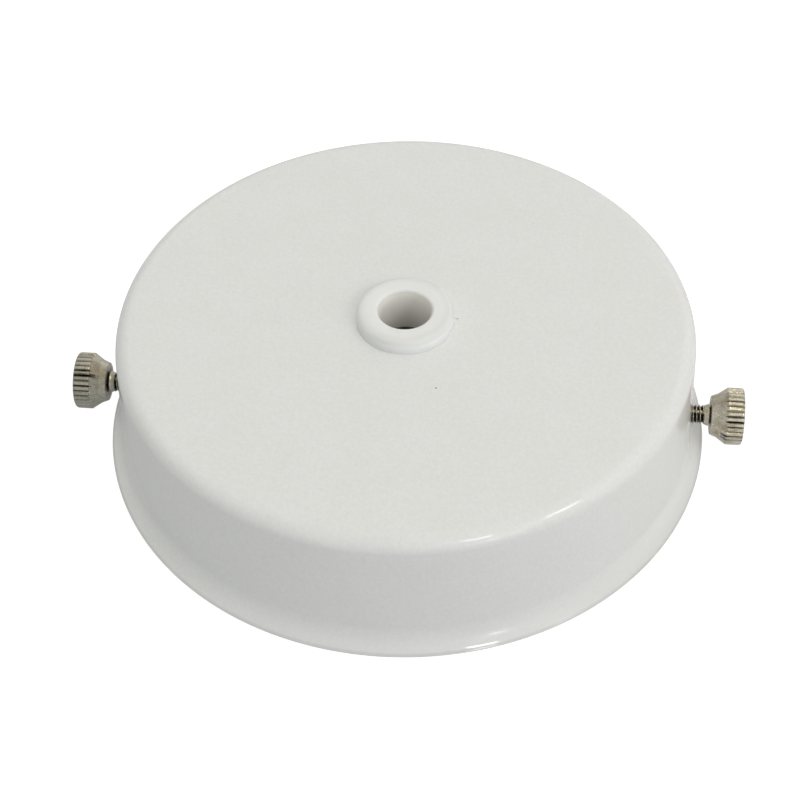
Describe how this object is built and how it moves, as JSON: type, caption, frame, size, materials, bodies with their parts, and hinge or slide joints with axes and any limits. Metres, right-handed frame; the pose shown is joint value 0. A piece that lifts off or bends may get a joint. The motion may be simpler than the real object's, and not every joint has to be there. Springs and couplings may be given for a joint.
{
  "type": "light fixture ceiling canopy",
  "caption": "Shallow round ceiling canopy for a hanging lamp: white cup with a flared rim, cord bushing, knurled side screws and a strap bracket inside.",
  "frame": {"origin": "centre of the open rim's plane, where the ceiling is; the part stands on that rim", "axes": "+X along the two thumbscrews, towards thumbscrew_right; +Z from the ceiling plane through the plate and the cord bushing"},
  "size_m": [0.1348, 0.12, 0.0314],
  "materials": {
    "white_enamel": "satin powder coat with a fine orange peel",
    "white_nylon": "smooth moulded",
    "zinc_plate": "bright zinc plate",
    "satin_nickel": "satin nickel plate",
    "brass": "plain turned brass"
  },
  "bodies": {
    "canopy": {"canopy_shell": "white_enamel", "cord_bushing": "white_nylon", "bushing_nut": "white_nylon", "mounting_bracket": "zinc_plate", "earth_screw": "brass", "earth_washer": "brass"},
    "left_screw": {"thumbscrew_left": "satin_nickel"},
    "right_screw": {"thumbscrew_right": "satin_nickel"}
  },
  "joints": [
    {"name": "left_screw_travel", "type": "slide", "parent": "canopy", "child": "left_screw", "axis": [-1, 0, 0], "range_m": [-0.0026, 0.0052]},
    {"name": "right_screw_travel", "type": "slide", "parent": "canopy", "child": "right_screw", "axis": [1, 0, 0], "range_m": [-0.0026, 0.0052]}
  ]
}
